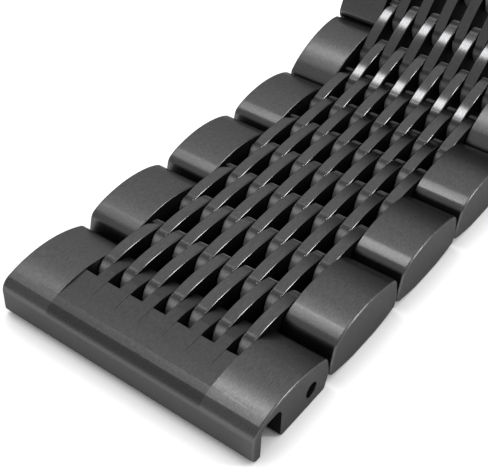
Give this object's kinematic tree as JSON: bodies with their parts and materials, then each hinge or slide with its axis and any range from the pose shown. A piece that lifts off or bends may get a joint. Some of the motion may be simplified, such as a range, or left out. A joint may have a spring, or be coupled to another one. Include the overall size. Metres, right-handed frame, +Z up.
{
  "type": "woven plate watch band",
  "caption": "Black steel watch band of thin plates woven on cross pins between solid side links, with slotted lug ends and a fold-over clasp.",
  "frame": {"origin": "middle of the closed band, on the surface that it lies on", "axes": "+X along the band, +Y across it, +Z up, away from the wrist"},
  "size_m": [0.1388, 0.022, 0.0197],
  "materials": {
    "black_steel": "brushed along the band, with a hard black coating",
    "clasp_steel": "brushed along the blade, with a hard black coating",
    "bare_steel": "smooth dark steel"
  },
  "bodies": {
    "clasp_cover": {"clasp_cover": "black_steel", "clasp_bar_a": "bare_steel", "cover_hinge_pin": "bare_steel"},
    "upper_blade": {"upper_blade": "clasp_steel", "blade_hinge_pin": "bare_steel"},
    "lower_blade": {"lower_blade": "clasp_steel", "clasp_bar_b": "bare_steel"},
    "bridge_a6": {"bridge_plates_a6": "black_steel"},
    "links_a5": {"side_links_a5": "black_steel", "centre_plates_a5": "black_steel", "link_pins_a5": "bare_steel"},
    "bridge_a5": {"bridge_plates_a5": "black_steel"},
    "links_a4": {"side_links_a4": "black_steel", "centre_plates_a4": "black_steel", "link_pins_a4": "bare_steel"},
    "bridge_a4": {"bridge_plates_a4": "black_steel"},
    "links_a3": {"side_links_a3": "black_steel", "centre_plates_a3": "black_steel", "link_pins_a3": "bare_steel"},
    "bridge_a3": {"bridge_plates_a3": "black_steel"},
    "links_a2": {"side_links_a2": "black_steel", "centre_plates_a2": "black_steel", "link_pins_a2": "bare_steel"},
    "bridge_a2": {"bridge_plates_a2": "black_steel"},
    "links_a1": {"side_links_a1": "black_steel", "centre_plates_a1": "black_steel", "link_pins_a1": "bare_steel"},
    "bridge_a1": {"bridge_plates_a1": "black_steel"},
    "lug_a": {"lug_end_a": "black_steel", "lug_pin_a": "bare_steel"},
    "bridge_b6": {"bridge_plates_b6": "black_steel"},
    "links_b5": {"side_links_b5": "black_steel", "centre_plates_b5": "black_steel", "link_pins_b5": "bare_steel"},
    "bridge_b5": {"bridge_plates_b5": "black_steel"},
    "links_b4": {"side_links_b4": "black_steel", "centre_plates_b4": "black_steel", "link_pins_b4": "bare_steel"},
    "bridge_b4": {"bridge_plates_b4": "black_steel"},
    "links_b3": {"side_links_b3": "black_steel", "centre_plates_b3": "black_steel", "link_pins_b3": "bare_steel"},
    "bridge_b3": {"bridge_plates_b3": "black_steel"},
    "links_b2": {"side_links_b2": "black_steel", "centre_plates_b2": "black_steel", "link_pins_b2": "bare_steel"},
    "bridge_b2": {"bridge_plates_b2": "black_steel"},
    "links_b1": {"side_links_b1": "black_steel", "centre_plates_b1": "black_steel", "link_pins_b1": "bare_steel"},
    "bridge_b1": {"bridge_plates_b1": "black_steel"},
    "lug_b": {"lug_end_b": "black_steel", "lug_pin_b": "bare_steel"}
  },
  "joints": [
    {"name": "cover_hinge", "type": "hinge", "parent": "clasp_cover", "child": "upper_blade", "pos_m": [0.01179, 0, 0.01491], "axis": [0, -1, 0], "range_deg": [0, 150]},
    {"name": "blade_hinge", "type": "hinge", "parent": "upper_blade", "child": "lower_blade", "pos_m": [-0.01179, 0, 0.01491], "axis": [0, 1, 0], "range_deg": [0, 150]},
    {"name": "pin_a12", "type": "hinge", "parent": "clasp_cover", "child": "bridge_a6", "pos_m": [-0.01678, 0, 0.01176], "axis": [0, -1, 0], "range_deg": [-18.5, 14.5]},
    {"name": "pin_a11", "type": "hinge", "parent": "bridge_a6", "child": "links_a5", "pos_m": [-0.02025, 0, 0.0089], "axis": [0, -1, 0], "range_deg": [-18.5, 14.5]},
    {"name": "pin_a10", "type": "hinge", "parent": "links_a5", "child": "bridge_a5", "pos_m": [-0.02343, 0, 0.00572], "axis": [0, -1, 0], "range_deg": [0, 33]},
    {"name": "pin_a9", "type": "hinge", "parent": "bridge_a5", "child": "links_a4", "pos_m": [-0.02725, 0, 0.00334], "axis": [0, -1, 0], "range_deg": [0, 33]},
    {"name": "pin_a8", "type": "hinge", "parent": "links_a4", "child": "bridge_a4", "pos_m": [-0.0315, 0, 0.00187], "axis": [0, -1, 0], "range_deg": [0, 33]},
    {"name": "pin_a7", "type": "hinge", "parent": "bridge_a4", "child": "links_a3", "pos_m": [-0.03598, 0, 0.0014], "axis": [0, -1, 0], "range_deg": [-7, 26]},
    {"name": "pin_a6", "type": "hinge", "parent": "links_a3", "child": "bridge_a3", "pos_m": [-0.04048, 0, 0.0014], "axis": [0, -1, 0], "range_deg": [-13, 20]},
    {"name": "pin_a5", "type": "hinge", "parent": "bridge_a3", "child": "links_a2", "pos_m": [-0.04498, 0, 0.0014], "axis": [0, -1, 0], "range_deg": [-13, 20]},
    {"name": "pin_a4", "type": "hinge", "parent": "links_a2", "child": "bridge_a2", "pos_m": [-0.04948, 0, 0.0014], "axis": [0, -1, 0], "range_deg": [-13, 20]},
    {"name": "pin_a3", "type": "hinge", "parent": "bridge_a2", "child": "links_a1", "pos_m": [-0.05398, 0, 0.0014], "axis": [0, -1, 0], "range_deg": [-13, 20]},
    {"name": "pin_a2", "type": "hinge", "parent": "links_a1", "child": "bridge_a1", "pos_m": [-0.05848, 0, 0.0014], "axis": [0, -1, 0], "range_deg": [-13, 20]},
    {"name": "pin_a1", "type": "hinge", "parent": "bridge_a1", "child": "lug_a", "pos_m": [-0.06298, 0, 0.0014], "axis": [0, -1, 0], "range_deg": [-13, 20]},
    {"name": "pin_b12", "type": "hinge", "parent": "lower_blade", "child": "bridge_b6", "pos_m": [0.01678, 0, 0.01176], "axis": [0, 1, 0], "range_deg": [-18.5, 14.5]},
    {"name": "pin_b11", "type": "hinge", "parent": "bridge_b6", "child": "links_b5", "pos_m": [0.02025, 0, 0.0089], "axis": [0, 1, 0], "range_deg": [-18.5, 14.5]},
    {"name": "pin_b10", "type": "hinge", "parent": "links_b5", "child": "bridge_b5", "pos_m": [0.02343, 0, 0.00572], "axis": [0, 1, 0], "range_deg": [0, 33]},
    {"name": "pin_b9", "type": "hinge", "parent": "bridge_b5", "child": "links_b4", "pos_m": [0.02725, 0, 0.00334], "axis": [0, 1, 0], "range_deg": [0, 33]},
    {"name": "pin_b8", "type": "hinge", "parent": "links_b4", "child": "bridge_b4", "pos_m": [0.0315, 0, 0.00187], "axis": [0, 1, 0], "range_deg": [0, 33]},
    {"name": "pin_b7", "type": "hinge", "parent": "bridge_b4", "child": "links_b3", "pos_m": [0.03598, 0, 0.0014], "axis": [0, 1, 0], "range_deg": [-7, 26]},
    {"name": "pin_b6", "type": "hinge", "parent": "links_b3", "child": "bridge_b3", "pos_m": [0.04048, 0, 0.0014], "axis": [0, 1, 0], "range_deg": [-13, 20]},
    {"name": "pin_b5", "type": "hinge", "parent": "bridge_b3", "child": "links_b2", "pos_m": [0.04498, 0, 0.0014], "axis": [0, 1, 0], "range_deg": [-13, 20]},
    {"name": "pin_b4", "type": "hinge", "parent": "links_b2", "child": "bridge_b2", "pos_m": [0.04948, 0, 0.0014], "axis": [0, 1, 0], "range_deg": [-13, 20]},
    {"name": "pin_b3", "type": "hinge", "parent": "bridge_b2", "child": "links_b1", "pos_m": [0.05398, 0, 0.0014], "axis": [0, 1, 0], "range_deg": [-13, 20]},
    {"name": "pin_b2", "type": "hinge", "parent": "links_b1", "child": "bridge_b1", "pos_m": [0.05848, 0, 0.0014], "axis": [0, 1, 0], "range_deg": [-13, 20]},
    {"name": "pin_b1", "type": "hinge", "parent": "bridge_b1", "child": "lug_b", "pos_m": [0.06298, 0, 0.0014], "axis": [0, 1, 0], "range_deg": [-13, 20]}
  ],
  "couplings": [
    {"joint": "blade_hinge", "follows": "cover_hinge", "ratio": 1}
  ]
}
